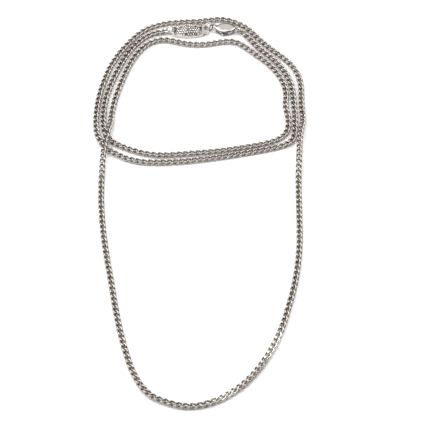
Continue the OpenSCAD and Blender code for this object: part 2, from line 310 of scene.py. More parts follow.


# Polished colour, colour of painted shade and tarnish, roughness and scratch strength.
CHAIN_SILVER = polished_silver(
    "chain silver", (0.78, 0.725, 0.675), (0.026, 0.017, 0.012), 0.13, 0.3
)
RING_SILVER = polished_silver(
    "ring silver", (0.76, 0.71, 0.665), (0.05, 0.035, 0.026), 0.09, 0.3
)
TAG_SILVER = polished_silver(
    "tag silver", (0.66, 0.61, 0.565), (0.012, 0.009, 0.007), 0.14, 0.35
)
# The clasp's silver is a darker copy of the chain's: painted shade that holds its face down under
# the bright backdrop.
CLASP_SILVER = polished_silver(
    "clasp silver", (0.64, 0.612, 0.588), (0.02, 0.015, 0.012), 0.16, 0.3
)


# Steel: width and depth of the drawn lines, their stretch, and the shade in them.
LINE_SIZE, LINE_DEPTH = 0.08, 0.003
LINE_STRETCH = (1, 1, 6)
LINE_SHADE = 0.7


def drawn_steel(name, shade):
    """Pin and spring steel, with fine lines from drawing."""
    n = Nodes(name)
    n.shader.inputs["Metallic"].default_value = 1
    lines = n.noise(LINE_SIZE, 2, LINE_STRETCH)
    in_line = tuple(LINE_SHADE * c for c in shade)
    n.link(n.mix(lines, in_line, shade), n.shader.inputs["Base Color"])
    n.link(n.remap(lines, 0.3, 0.7, 0.22, 0.42), n.shader.inputs["Roughness"])
    n.bump(lines, 0.4, LINE_DEPTH)
    return n.material


# Stones: the painted colour of a facet that shows a dark reflection and of one that flashes.
PAINTED_DARK_FACET = (0.06, 0.05, 0.043)
PAINTED_FLASH_FACET = (1, 0.96, 0.92)
HAZE_SIZE, HAZE_ROUGH = 0.4, 0.05


def clear_stone():
    """Cut clear stone in a silver bed, with painted flashes on some facets and painted dark
    reflections on others.
    """
    n = Nodes("clear stone")
    n.shader.inputs["IOR"].default_value = 2.1
    n.shader.inputs["Transmission Weight"].default_value = 0.1
    haze = n.noise(HAZE_SIZE, 2)
    glint = n.mix(n.attribute("painted_glint"), PAINTED_DARK_FACET, PAINTED_FLASH_FACET)
    n.link(glint, n.shader.inputs["Base Color"])
    n.link(n.remap(haze, 0.3, 0.7, 0.0, HAZE_ROUGH), n.shader.inputs["Roughness"])
    return n.material


STEEL = drawn_steel("pin steel", (0.6, 0.6, 0.6))
SPRING_STEEL = drawn_steel("spring steel", (0.42, 0.42, 0.43))
STONE = clear_stone()


def finish_piece(obj, material, node, *more_nodes):
    """Gives a piece its material, its body and the CAD nodes that it stands for."""
    obj.data.materials.clear()
    obj.data.materials.append(material)
    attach(obj, body_of[node])
    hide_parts(node, *more_nodes)


# ---- Chain ----------------------------------------------------------------------------------

# The distance from link to link, as in the CAD. A link is of full, burnished wire: half length,
# half width and rise of its middle line. The bends say how square its plan is and how quickly
# its sides climb from one end's tilt to the other's.
PITCH = 3.13
WIRE_R = 0.49
LINK_LONG = 2.14
LINK_WIDE = 1.03
LINK_RISE = 0.6
PLAN_BEND = 0.78
SIDE_CLIMB = 2.5
# How far from the next link's wire the painted shade reaches and how fast it fades, and how much
# painted shade darkens the flanks against the floor's bright reflection. A flank faces up by less
# than these shares.
GAP_SHADE_REACH = 0.68
GAP_SHADE_FADE = 1.15
FLANK_SHADE = 0.56
FLANK_FROM, FLANK_TO = 0.05, 0.75
LINK_STEPS = 44
AROUND = 14
LINE_SAMPLES = 721


def link_line():
    """Closed middle line of a curb link, evenly stepped."""
    angle = np.linspace(0, 2 * np.pi, LINE_SAMPLES)
    c, s = np.cos(angle), np.sin(angle)
    line = np.stack([
        LINK_LONG * np.sign(c) * np.abs(c) ** PLAN_BEND,
        LINK_WIDE * np.sign(s) * np.abs(s) ** PLAN_BEND,
        -LINK_RISE * np.tanh(SIDE_CLIMB * np.sin(2 * angle)) / math.tanh(SIDE_CLIMB)
    ], 1)
    along = np.concatenate([[0], np.cumsum(np.linalg.norm(np.diff(line, axis=0), axis=1))])
    even = np.linspace(0, along[-1], LINK_STEPS, endpoint=False)
    return np.stack([np.interp(even, along, line[:, k]) for k in range(3)], 1)


def link_mesh():
    """Points, faces and painted shade of one link."""
    path = link_line()
    up = np.cross(path, np.roll(path, -1, 0) - np.roll(path, 1, 0))
    up /= np.linalg.norm(up, axis=1)[:, None]
    full = np.full(LINK_STEPS, WIRE_R)
    verts = sweep(path, full, full, up, AROUND)
    # Painted shade: darker near the next links' wire, where they hide each other, and on the
    # flanks.
    neighbours = np.concatenate([path + (PITCH, 0, 0), path - (PITCH, 0, 0)])
    gap = np.linalg.norm(verts[:, None] - neighbours[None], axis=2).min(1) - WIRE_R
    hidden = np.clip(1 - gap / GAP_SHADE_REACH, 0, 1) ** GAP_SHADE_FADE
    facing = (verts - np.repeat(path, AROUND, 0))[:, 2] / WIRE_R
    flank_darkening = FLANK_SHADE * (1 - smooth_step(FLANK_FROM, FLANK_TO, facing))
    return verts, grid_faces(LINK_STEPS, AROUND), np.maximum(hidden, flank_darkening)


LINK_VERTS, LINK_FACES, LINK_SHADE = link_mesh()


def chain_run(node):
    """All links of one CAD node as one piece."""
    parts = [axes(*solid) for solid in islands(node)]
    verts = np.concatenate([LINK_VERTS @ turn.T + centre for centre, turn in parts])
    faces = np.concatenate([LINK_FACES + k * len(LINK_VERTS) for k in range(len(parts))])
    obj = mesh_object("links_" + node, verts, faces)
    # Each link's painted shade.
    paint(obj, "shade_and_tarnish", np.tile(LINK_SHADE, len(parts)))
    finish_piece(obj, CHAIN_SILVER, node)


OTHER_NODES = {
    "tag_ring", "closing_ring", "clasp_ring", "tag_body", "tag_stones",
    "clasp_body", "clasp_lever", "clasp_pin", "clasp_spring",
}
for node in sorted(set(nodes) - OTHER_NODES):
    chain_run(node)

# ---- Jump rings -----------------------------------------------------------------------------

RING_R = 1.95
RING_WIRE_R = 0.42
RING_STEPS, RING_AROUND = 96, 20
# The cut where a ring was closed: where it is, how narrow, and how deep a share of the wire.
CUT_AT, CUT_WIDE, CUT_DEEP = 0.9, 0.035, 0.22
# Where each ring stands, its turn about the vertical, its lean from lying flat, and its lift.
RINGS = {
    "tag_ring": ((-15.15, 111.16), 3, 72, 0),
    "closing_ring": ((4.7, 113.6), 24, 65, 0),
    "clasp_ring": ((20.58, 111.08), -33, 115, 0.07),
}


def jump_ring(node):
    """A round ring with the fine cut where it was closed."""
    (x, y), turn, lean, lift = RINGS[node]
    angle = np.arange(RING_STEPS) * 2 * np.pi / RING_STEPS
    path = np.stack([RING_R * np.cos(angle), RING_R * np.sin(angle), 0 * angle], 1)
    closed_cut = np.exp(-(((angle - CUT_AT) / CUT_WIDE) ** 2))
    radius = RING_WIRE_R * (1 - CUT_DEEP * closed_cut)
    verts = sweep(path, radius, radius, UP, RING_AROUND)
    c, s = math.cos(math.radians(lean)), math.sin(math.radians(lean))
    verts = verts @ np.array([[1, 0, 0], [0, c, s], [0, -s, c]])
    c, s = math.cos(math.radians(turn)), math.sin(math.radians(turn))
    verts = verts @ np.array([[c, s, 0], [-s, c, 0], [0, 0, 1]])
    verts += (x, y, RING_R * math.sin(math.radians(lean)) + RING_WIRE_R + lift)
    obj = mesh_object("wire_" + node, verts, grid_faces(RING_STEPS, RING_AROUND))
    paint(obj, "shade_and_tarnish", np.repeat(closed_cut, RING_AROUND))
    finish_piece(obj, RING_SILVER, node)


for node in RINGS:
    jump_ring(node)

# ---- Tag ------------------------------------------------------------------------------------

# The tag's middle and its turn about the vertical, then its half length and half width, the
# radius of its long edges, its lugs' underside and top, and its rim's height, all as in the CAD.
TAG_AT = (-5, 111.7)
TAG_TURN = math.radians(4)
TAG_HALF = 9.7
TAG_WIDE = 4.3
EDGE_R = 24.7
LUG_LOW, LUG_TOP = 1.35, 2.15
RIM_H = 1.6
# The crown: its middle along the tag, half length and height, and how its barrel bends across
# and along.
CROWN_X, CROWN_HALF, CROWN_H = -1.1, 6.9, 3.5
BARREL_R, BARREL_LONG = 5.2, 17
# Where the crown's end slopes down to the lugs and their underside steps up, from the crown's
# half length, and where the crown rises, from the tag's edge.
END_SLOPE = (-0.4, 0.5)
UNDER_STEP = (0.2, 0.45)
CROWN_RISE = (0.35, 0.75)
EDGE_ROUND = 0.3
SPOKES, HOOPS, EDGE_HOOPS = 192, 56, 7
# Each lug's hole: its place along and across the tag, and its radius.
HOLES = ((-8.2, 0, 1), (8.15, 0.3, 1.1))
HOLE_FLARE = 0.14
# Painted shade at the holes' mouths and under the tag: how much, and how far it reaches. Between
# the stones the painted shade is full: from the tag's edge, from the row's end and above the rim.
MOUTH_SHADE, MOUTH_REACH = 0.35, 0.35
UNDER_SHADE, UNDER_REACH = 0.3, (0.05, 0.5)
BED_EDGE, BED_END, BED_RISE = (0.3, 0.6), (-0.2, 0.4), (1.4, 1.8)
BED_PAST_STONES = 0.5
# Stones: their spacing and radius, the middle row's half length, how much shorter each row is
# than the one inside it, and how many rows there are.
STONE_GAP, STONE_R, STONE_REACH = 1.25, 0.45, 6.7
ROW_TAPER = 0.45
STONE_ROWS = 7
MIDDLE_ROW = (STONE_ROWS - 1) / 2
# A stone's cut: the table's and belly's shares of its radius, and heights from its seat.
TABLE_SHARE, BELLY_SHARE = 0.56, 0.45
TABLE_H, GIRDLE_TOP, GIRDLE_LOW, BELLY_H, CULET_H = 0.17, -0.04, -0.1, -0.36, -0.55
FACETS = 8
# The spread of each stone's chance and of each facet's, and where their sum begins to flash.
STONE_CHANCE, FACET_CHANCE, FLASH_FROM = (-0.05, 1.6), (-0.3, 0.3), (0.2, 0.6)
BEAD_R, BEAD_H, BEAD_FOOT = 0.13, 0.2, 0.25
BEAD_RINGS, BEAD_AROUND = 5, 10
# Beads round a stone: steps along the row and rows across.
BEAD_SPOTS = (
    (0.5, 1 / 3), (0.5, -1 / 3), (-0.5, 1 / 3), (-0.5, -1 / 3), (0, 2 / 3), (0, -2 / 3)
)
BEAD_TARNISH = 0.02


def on_tag(points):
    """From the tag's own frame to the row frame."""
    c, s = math.cos(TAG_TURN), math.sin(TAG_TURN)
    p = np.asarray(points, float)
    return np.stack([
        TAG_AT[0] + c * p[:, 0] - s * p[:, 1], TAG_AT[1] + s * p[:, 0] + c * p[:, 1], p[:, 2]
    ], 1)


def tag_reach(angle):
    """How far the tag's outline is from its middle in each direction."""
    low, high = np.zeros_like(angle), np.full_like(angle, 2 * TAG_HALF)
    dx, dy = np.cos(angle), np.abs(np.sin(angle))
    for _ in range(40):
        mid = (low + high) / 2
        x, y = np.abs(mid * dx), mid * dy
        edge = y + EDGE_R - TAG_WIDE <= np.sqrt(np.maximum(EDGE_R**2 - x**2, 0))
        tip = np.hypot(np.maximum(x - TAG_HALF + TAG_WIDE, 0), y) <= TAG_WIDE
        low, high = np.where(edge & tip, mid, low), np.where(edge & tip, high, mid)
    return low


def barrel_at(x):
    """Radius of the crown's barrel at a place along it."""
    return BARREL_R - BARREL_LONG + np.sqrt(BARREL_LONG**2 - x**2)


def crown_top(x, y):
    """Height of the domed crown over the tag's plane."""
    return CROWN_H - BARREL_R + np.sqrt(np.maximum(barrel_at(x - CROWN_X) ** 2 - y**2, 0))


def tag_plate():
    """Plate, rim, lugs and crown as one closed skin."""
    angle = np.arange(SPOKES) * 2 * np.pi / SPOKES
    reach = tag_reach(angle)
    points = []
    for inward in np.linspace(0, 1, HOOPS, endpoint=False):
        radius = (reach - EDGE_ROUND) * (1 - inward)
        x, y = radius * np.cos(angle), radius * np.sin(angle)
        along = np.abs(x - CROWN_X)
        lug = smooth_step(CROWN_HALF + END_SLOPE[0], CROWN_HALF + END_SLOPE[1], along)
        rim = RIM_H + (LUG_TOP - RIM_H) * lug
        inset = smooth_step(*CROWN_RISE, reach - radius)
        top = rim + np.maximum(crown_top(x, y) - rim, 0) * inset * (1 - lug)
        low = LUG_LOW * smooth_step(CROWN_HALF + UNDER_STEP[0], CROWN_HALF + UNDER_STEP[1], along)
        points.append((x, y, top, low))
    ring_top = [np.stack([x, y, top], 1) for x, y, top, _ in points]
    ring_low = [np.stack([x, y, low], 1) for x, y, _, low in points]
    x, y, top, low = points[0]
    round_at = np.linspace(0, math.pi / 2, EDGE_HOOPS)[1:]
    out = np.stack([np.cos(angle), np.sin(angle)], 1)
    edge = []
    for a in round_at:
        grow = EDGE_ROUND * math.sin(a)
        edge.append(np.column_stack([
            x + out[:, 0] * grow, y + out[:, 1] * grow, top - EDGE_ROUND * (1 - math.cos(a))
        ]))
    for a in round_at[::-1]:
        grow = EDGE_ROUND * math.sin(a)
        edge.append(np.column_stack([
            x + out[:, 0] * grow, y + out[:, 1] * grow, low + EDGE_ROUND * (1 - math.cos(a))
        ]))
    loops = ring_top[::-1] + edge + ring_low
    verts = np.concatenate(loops)
    return verts, capped_faces(len(loops), SPOKES)


def apply_modifiers(obj):
    """Bakes the modifiers into the mesh."""
    bpy.context.view_layer.update()
    shape = bpy.data.meshes.new_from_object(
        obj.evaluated_get(bpy.context.evaluated_depsgraph_get())
    )
    obj.modifiers.clear()
    obj.data = shape


def lathe(centre, profile, around=64):
    """A closed solid turned about an upright line; the profile is (radius, height) pairs."""
    turn = np.arange(around) * 2 * np.pi / around
    verts = np.concatenate([
        np.stack([centre[0] + r * np.cos(turn), centre[1] + r * np.sin(turn), 0 * turn + z], 1)
        for r, z in profile
    ])
    return verts, capped_faces(len(profile), around)


def outward(obj):
    """Turns the faces so that they all look out."""
    work = bmesh.new()
    work.from_mesh(obj.data)
    bmesh.ops.recalc_face_normals(work, faces=work.faces)
    work.to_mesh(obj.data)
    work.free()


def cut(obj, tool_verts, tool_faces):
    """Takes a closed shape out of a piece."""
    tool = mesh_object("tool", tool_verts, tool_faces)
    outward(tool)
    boolean = obj.modifiers.new("cut", "BOOLEAN")
    boolean.object = tool
    boolean.operation = "DIFFERENCE"
    boolean.solver = "EXACT"
    apply_modifiers(obj)
    bpy.data.objects.remove(tool)


def hole_profile(radius, low, top, flare):
    """A drilled hole whose two mouths are rounded over."""
    bend = np.linspace(0, math.pi / 2, 5)
    upper = [(radius + flare * (1 - math.cos(b)), top - flare * (1 - math.sin(b))) for b in bend]
    lower = [(r, low + top - z) for r, z in upper[::-1]]
    wide = radius + 1.6 * flare
    return [(wide, low - 3)] + lower + upper + [(wide, top + 3)]


def points_of(obj):
    """A mesh's points in millimetres."""
    co = np.zeros(len(obj.data.vertices) * 3)
    obj.data.vertices.foreach_get("co", co)
    return co.reshape(-1, 3) / MM


def build_tag():
    """The tag's plate, drilled, with painted shade in its holes, below, and between the stones.
    """
    verts, faces = tag_plate()
    obj = mesh_object("tag_plate", verts, faces)
    outward(obj)
    for x, y, radius in HOLES:
        cut(obj, *lathe((x, y), hole_profile(radius, LUG_LOW, LUG_TOP, HOLE_FLARE)))
    local = points_of(obj)
    x, y, z = local.T
    from_edge = tag_reach(np.arctan2(y, x)) - np.hypot(x, y)
    from_end = STONE_REACH + BED_PAST_STONES - np.abs(x - CROWN_X)
    bed = smooth_step(*BED_EDGE, from_edge) * smooth_step(*BED_END, from_end)
    bed = bed * smooth_step(*BED_RISE, z)
    from_hole = np.min([np.abs(np.hypot(x - hx, y - hy) - r) for hx, hy, r in HOLES], 0)
    mouth = 1 - smooth_step(0.0, MOUTH_REACH, from_hole)
    under = 1 - smooth_step(*UNDER_REACH, z)
    place = on_tag(local) * MM
    obj.data.vertices.foreach_set("co", place.ravel())
    obj.data.update()
    # Painted shade between the stones, at the holes' mouths and underneath.
    shade_and_tarnish = bed + MOUTH_SHADE * mouth + UNDER_SHADE * under
    paint(obj, "shade_and_tarnish", np.clip(shade_and_tarnish, 0, 1))
    finish_piece(obj, TAG_SILVER, "tag_body")


def stone_spots():
    """(place along the tag, row) of each stone; every other row is set half a step along."""
    most = math.ceil(STONE_REACH / STONE_GAP)
    for row in range(STONE_ROWS):
        for k in range(-most, most):
            x = (k + row % 2 / 2) * STONE_GAP
            if abs(x) < STONE_REACH - ROW_TAPER * abs(row - MIDDLE_ROW):
                yield x, row


def set_on_crown(shape, x, row):
    """Puts a small shape, drawn about its seat, on the crown."""
    slope = math.asin(x / BARREL_LONG)
    lean = (row - MIDDLE_ROW) * STONE_GAP / BARREL_R
    c, s = math.cos(slope), math.sin(slope)
    px, py, pz = shape.T
    p = np.stack([c * px + s * pz, py, c * pz - s * px], 1)
    p += (x, 0, barrel_at(x))
    c, s = math.cos(lean), math.sin(lean)
    px, py, pz = p.T
    p = np.stack([px, c * py + s * pz, c * pz - s * py], 1)
    return on_tag(p + (CROWN_X, 0, CROWN_H - BARREL_R))


def brilliant():
    """Points and faces of a round brilliant: table, crown, girdle and pavilion."""
    def circle(count, radius, z, shift=0):
        a = (np.arange(count) + shift) * 2 * np.pi / count
        return np.stack([radius * np.cos(a), radius * np.sin(a), 0 * a + z], 1)

    wide = 2 * FACETS
    verts = np.concatenate([
        circle(FACETS, TABLE_SHARE * STONE_R, TABLE_H),
        circle(wide, STONE_R, GIRDLE_TOP),
        circle(wide, STONE_R, GIRDLE_LOW),
        circle(FACETS, BELLY_SHARE * STONE_R, BELLY_H, 0.5),
        [[0, 0, CULET_H]],
    ])
    # The first point of the girdle's upper and lower edge, of the belly, and the culet.
    upper, lower, first_belly = FACETS, FACETS + wide, FACETS + 2 * wide
    culet = first_belly + FACETS
    faces = [list(range(FACETS))]
    for k in range(FACETS):
        left, mid, right = [upper + (2 * k + step) % wide for step in (-1, 0, 1)]
        faces += [[k, left, mid], [k, mid, right], [k, right, (k + 1) % FACETS]]
        left, mid, right = [lower + (2 * k + step) % wide for step in (0, 1, 2)]
        belly, before = first_belly + k, first_belly + (k - 1) % FACETS
        faces += [[left, before, belly], [left, belly, mid], [mid, belly, right]]
        faces.append([before, culet, belly])
    for j in range(wide):
        after = (j + 1) % wide
        faces.append([upper + j, lower + j, lower + after, upper + after])
    return verts, faces


def bead():
    """Points and faces of a raised bead of metal that holds the stones round it."""
    turn = np.arange(BEAD_AROUND) * 2 * np.pi / BEAD_AROUND
    verts = []
    for k in range(BEAD_RINGS):
        a = k / BEAD_RINGS * math.pi / 2
        radius = BEAD_R * math.cos(a)
        verts.append(np.stack([
            radius * np.cos(turn), radius * np.sin(turn), 0 * turn + BEAD_H * math.sin(a)
        ], 1))
    foot = verts[0] - (0, 0, BEAD_FOOT)
    verts = np.concatenate([foot, *verts, [[0, 0, BEAD_H]]])
    faces = [list(f) for f in grid_faces(BEAD_RINGS + 1, BEAD_AROUND, close_rows=False)]
    last, tip = BEAD_RINGS * BEAD_AROUND, len(verts) - 1
    faces += [[last + j, last + (j + 1) % BEAD_AROUND, tip] for j in range(BEAD_AROUND)]
    faces.append(list(range(BEAD_AROUND))[::-1])
    return verts, faces


def scatter(shape, spots):
    """Copies of a small shape at every spot on the crown."""
    verts, faces = shape
    all_verts, all_faces = [], []
    for k, (x, row) in enumerate(spots):
        all_verts.append(set_on_crown(verts, x, row))
        all_faces += [[i + k * len(verts) for i in f] for f in faces]
    return np.concatenate(all_verts), all_faces


def build_stones():
    """The stones, and the beads of silver between them."""
    spots = list(stone_spots())
    obj = mesh_object("stones", *scatter(brilliant(), spots), smooth=False)
    outward(obj)
    # Each facet gets a painted flash or a painted dark reflection, by chance: first each stone's,
    # then each corner's.
    corners = len(brilliant()[0])
    stones = np.random.default_rng(4).uniform(*STONE_CHANCE, (len(spots), 1))
    facets = np.random.default_rng(5).uniform(*FACET_CHANCE, (len(spots), corners))
    paint(obj, "painted_glint", smooth_step(*FLASH_FROM, stones + facets).ravel())
    finish_piece(obj, STONE, "tag_stones")
    around = set()
    for x, row in spots:
        for dx, dr in BEAD_SPOTS:
            around.add((round(x + dx * STONE_GAP, 3), round(row + dr, 3)))
    beads = mesh_object("stone_beads", *scatter(bead(), sorted(around)))
    outward(beads)
    paint(beads, "shade_and_tarnish", np.full(len(beads.data.vertices), BEAD_TARNISH))
    beads.data.materials.append(TAG_SILVER)
    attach(beads, body_of["tag_body"])


build_tag()
build_stones()

# ---- Clasp ----------------------------------------------------------------------------------

# Sizes and places in the clasp's own frame, as in the CAD: x along it from the hook to the eye.
CLASP_H = 3.2
MID_H = CLASP_H / 2
# How square the shell's and the hub's edges are: 2 is round, more is flatter.
SHELL_SQUARE, HUB_SQUARE = 5, 6
# The hook's middle and its inner and outer radius, and the claw's middle height and thickness.
HOOK, HOOK_IN, HOOK_OUT = (2.5, 1.2), 1.55, 2.35
CLAW_Z, CLAW_H = 1.7, 1.2
# The claw's bow about the hook, in degrees: both ends, where it thins, and how much.
BOW_FROM, BOW_TO = 8, 248
THIN_FROM, THIN_SHARE = 200, 0.3
TIP_FROM, TIP_TO = 238, 250
# The shell's middle, half length and half width; the eye's middle, radii and thickness; the
# pin's middle.
SHELL_X, SHELL_HALF, SHELL_WIDE = 8.6, 5.6, 3.4
EYE, EYE_R, EYE_HOLE, EYE_H = (14.7, -0.6), 1.8, 1.15, 0.9
EYE_STEPS, EYE_AROUND = 72, 20
PIVOT = (6.6, -1.5)
# The lever's slot: its height and hub room, then the rooms for the resting arm, for the arm's
# swing and for the thumb tab, each with its low corner and high corner.
SLOT_H, HUB_ROOM_R = 1.0, 1.75
ARM_ROOM = (1, -4.5), (PIVOT[0], 0.1)
SWING_ROOM = (-5.5, 0), (0, 1.55)
SWING = math.radians(-20)
TAB_ROOM = (PIVOT[0] - 1, -5), (PIVOT[0] + 3.2, PIVOT[1] - 0.2)
# The lever: hub, arm with its tip and sag, and thumb tab.
LEVER_H, HUB_R = 0.8, 1.35
ARM_TIP, ARM_SAG = (2.45, -0.72), 0.3
ARM_HALF, ARM_SPREAD = 0.42, 0.12
TAB_X, TAB_LOW, TAB_LONG = 0.4, -2.65, 2.2
TAB_HALF, TAB_WAIST = 0.58, 0.06
PIN_R = 0.45
PIN_HOLE_LOW, PIN_DOME = 0.5, 0.08
SPRING_R, SPRING_WIRE_R = 1.55, 0.15
SPRING_FROM, SPRING_TO = 20, 90
# Voxel size and smoothing rounds of the two cast pieces.
SHELL_VOXEL, SHELL_ROUNDS = 0.075, 4
LEVER_VOXEL, LEVER_ROUNDS = 0.05, 3
# Darkening on the clasp: how much, and over what distance it changes. It is tarnish round the
# pin, painted shade in the slot, where it is full, below, in the hook and on the flanks, and on
# the lever's hub it is darker towards the pin.
PIN_TARNISH, PIN_REACH = 0.6, 0.12
BELOW_SHADE, BELOW_REACH = 0.5, (0.1, 1.6)
HOOK_SHADE, HOOK_REACH = 0.9, (-0.1, 0.35)
RIM_SHADE, RIM_TILT = 0.5, (0.01, 0.1)
HUB_DARKENING, HUB_REACH = 0.7, (0.9, 1.5)

pin_low, pin_high = [np.array(corner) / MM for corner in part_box("clasp_pin")]
CLASP_AT = (pin_low + pin_high)[:2] / 2 - PIVOT


def on_clasp(obj):
    """Moves a mesh from the clasp's own frame to the row frame."""
    place = (points_of(obj) + (*CLASP_AT, 0)) * MM
    obj.data.vertices.foreach_set("co", place.ravel())
    obj.data.update()


def tube(path, widths, heights, around=24):
    """A tube in a level plane along an open path, rounded shut at both ends."""
    path = np.asarray(path, float)
    ahead = np.gradient(path, axis=0)
    ahead /= np.linalg.norm(ahead, axis=1)[:, None]
    side = np.stack([-ahead[:, 1], ahead[:, 0], 0 * ahead[:, 0]], 1)
    turn = np.arange(around) * 2 * np.pi / around
    across = np.cos(turn)[None, :, None] * np.asarray(widths)[:, None, None]
    over = np.sin(turn)[None, :, None] * np.asarray(heights)[:, None, None]
    verts = (path[:, None] + side[:, None] * across + UP * over).reshape(-1, 3)
    return verts, capped_faces(len(path), around)


def pillow(outline, middle, thick, sharp, levels=14):
    """A closed cushion over an outline: flat faces that roll over into a rounded edge."""
    turn = np.linspace(-math.pi / 2, math.pi / 2, levels + 2)[1:-1]
    loops = []
    for t in turn:
        size = math.cos(t) ** (2 / sharp)
        z = thick / 2 * math.copysign(abs(math.sin(t)) ** (2 / sharp), t)
        loops.append(np.column_stack([
            middle[0] + (outline[:, 0] - middle[0]) * size,
            middle[1] + (outline[:, 1] - middle[1]) * size,
            np.full(len(outline), middle[2] + z)
        ]))
    return np.concatenate(loops), capped_faces(levels, len(outline))


def circle_outline(centre, radius, around=64):
    """Points of a level circle."""
    turn = np.arange(around) * 2 * np.pi / around
    return np.stack([centre[0] + radius * np.cos(turn), centre[1] + radius * np.sin(turn)], 1)


def lens_outline():
    """Two arcs that meet in a point at each end of the shell."""
    radius = (SHELL_HALF**2 + SHELL_WIDE**2) / (2 * SHELL_WIDE)
    spread = math.asin(SHELL_HALF / radius)
    sweep_at = np.linspace(-spread, spread, 48, endpoint=False)
    x, y = radius * np.sin(sweep_at), radius * np.cos(sweep_at) - radius + SHELL_WIDE
    return np.concatenate([
        np.stack([SHELL_X + x, y], 1), np.stack([SHELL_X - x, -y], 1)
    ])[::-1]


def box_shape(low, high):
    """Points and faces of a box between two corners."""
    x0, y0, z0 = low
    x1, y1, z1 = high
    verts = [(x, y, z) for x in (x0, x1) for y in (y0, y1) for z in (z0, z1)]
    faces = [(0, 1, 3, 2), (4, 6, 7, 5), (0, 4, 5, 1), (2, 3, 7, 6), (0, 2, 6, 4), (1, 5, 7, 3)]
    return verts, faces


def cast(name, shapes, voxel, rounds):
    """Melts closed shapes into one skin with soft inner corners, as a casting has."""
    verts, faces, start = [], [], 0
    for shape_verts, shape_faces in shapes:
        verts += [tuple(v) for v in np.asarray(shape_verts)]
        faces += [[i + start for i in f] for f in shape_faces]
        start += len(shape_verts)
    obj = mesh_object(name, verts, faces)
    outward(obj)
    remesh = obj.modifiers.new("melt", "REMESH")
    remesh.mode = "VOXEL"
    remesh.voxel_size = voxel * MM
    remesh.use_smooth_shade = True
    smooth = obj.modifiers.new("soften", "SMOOTH")
    smooth.factor = 0.5
    smooth.iterations = rounds
    apply_modifiers(obj)
    return obj


def upward(obj):
    """How far each point of a mesh faces up."""
    normals = np.zeros(len(obj.data.vertices) * 3)
    obj.data.vertex_normals.foreach_get("vector", normals)
    return normals[2::3]


def shell_shape():
    """The shell alone, cut where the hook and the eye are."""
    shell = mesh_object(
        "shell", *pillow(lens_outline(), (SHELL_X, 0, MID_H), CLASP_H, SHELL_SQUARE)
    )
    outward(shell)
    for centre, radius in ((HOOK, HOOK_IN), (EYE, EYE_HOLE)):
        cut(shell, *lathe(centre, [(radius, -1), (radius, CLASP_H + 1)]))
    shape = (points_of(shell), [list(p.vertices) for p in shell.data.polygons])
    bpy.data.objects.remove(shell)
    return shape


def claw_shape():
    """The claw, which thins towards its rounded tip."""
    bow = np.radians(np.linspace(BOW_FROM, BOW_TO, 60))
    claw_r = (HOOK_IN + HOOK_OUT) / 2
    path = np.stack([
        HOOK[0] + claw_r * np.cos(bow), HOOK[1] + claw_r * np.sin(bow), 0 * bow + CLAW_Z
    ], 1)
    taper = 1 - THIN_SHARE * smooth_step(THIN_FROM, BOW_TO, np.degrees(bow))
    tip = smooth_step(TIP_FROM, TIP_TO, np.degrees(bow))
    close = np.sqrt(np.clip(1 - tip**2, 0.02, 1))
    width = (HOOK_OUT - HOOK_IN) / 2 * taper * close
    return tube(path, width, CLAW_H / 2 * taper * close)


def eye_shape():
    """The eye that the clasp ring goes through."""
    turn = np.arange(EYE_STEPS) * 2 * np.pi / EYE_STEPS
    middle, wide = (EYE_R + EYE_HOLE) / 2, (EYE_R - EYE_HOLE) / 2
    path = np.stack([
        EYE[0] + middle * np.cos(turn), EYE[1] + middle * np.sin(turn), 0 * turn + MID_H
    ], 1)
    full = np.ones(EYE_STEPS)
    verts = sweep(path, wide * full, EYE_H / 2 * full, UP, EYE_AROUND)
    return verts, [list(f) for f in grid_faces(EYE_STEPS, EYE_AROUND)]


def build_clasp():
    """Shell, claw and eye in one casting, with room cut for the lever and its swing."""
    obj = cast(
        "clasp_shell", [shell_shape(), claw_shape(), eye_shape()], SHELL_VOXEL, SHELL_ROUNDS
    )
    low, high = MID_H - SLOT_H / 2, MID_H + SLOT_H / 2
    cut(obj, *lathe(PIVOT, [(HUB_ROOM_R, low), (HUB_ROOM_R, high)]))
    cut(obj, *box_shape((*ARM_ROOM[0], low), (*ARM_ROOM[1], high)))
    verts, faces = box_shape((*SWING_ROOM[0], low), (*SWING_ROOM[1], high))
    c, s = math.cos(SWING), math.sin(SWING)
    turn = np.array([[c, s, 0], [-s, c, 0], [0, 0, 1]])
    cut(obj, np.array(verts) @ turn + (*PIVOT, 0), faces)
    cut(obj, *box_shape((*TAB_ROOM[0], low), (*TAB_ROOM[1], high)))
    hole_r = PIN_R + 0.01
    cut(obj, *lathe(PIVOT, [(hole_r, PIN_HOLE_LOW), (hole_r, CLASP_H + 1)]))
    x, y, z = points_of(obj).T
    in_slot = (z > low - 0.02) & (z < high + 0.02) & (y < 0.2) & (x < PIVOT[0] + 3.3)
    from_pin = np.abs(np.hypot(x - PIVOT[0], y - PIVOT[1]) - PIN_R)
    pin_mark = 1 - smooth_step(0.0, PIN_REACH, from_pin)
    under = 1 - smooth_step(*BELOW_REACH, z)
    from_hook = np.hypot(x - HOOK[0], y - HOOK[1])
    in_hook = 1 - smooth_step(HOOK_IN + HOOK_REACH[0], HOOK_IN + HOOK_REACH[1], from_hook)
    on_shell = x > SHELL_X - SHELL_HALF + 0.5
    flank = smooth_step(*RIM_TILT, 1 - np.abs(upward(obj))) * on_shell
    # Painted shade in the slot, below, inside the hook and on the shell's flanks; tarnish round
    # the pin.
    shade_and_tarnish = in_slot + PIN_TARNISH * pin_mark + BELOW_SHADE * under
    shade_and_tarnish = shade_and_tarnish + HOOK_SHADE * in_hook + RIM_SHADE * flank
    on_clasp(obj)
    paint(obj, "shade_and_tarnish", np.clip(shade_and_tarnish, 0, 1))
    finish_piece(obj, CLASP_SILVER, "clasp_body")


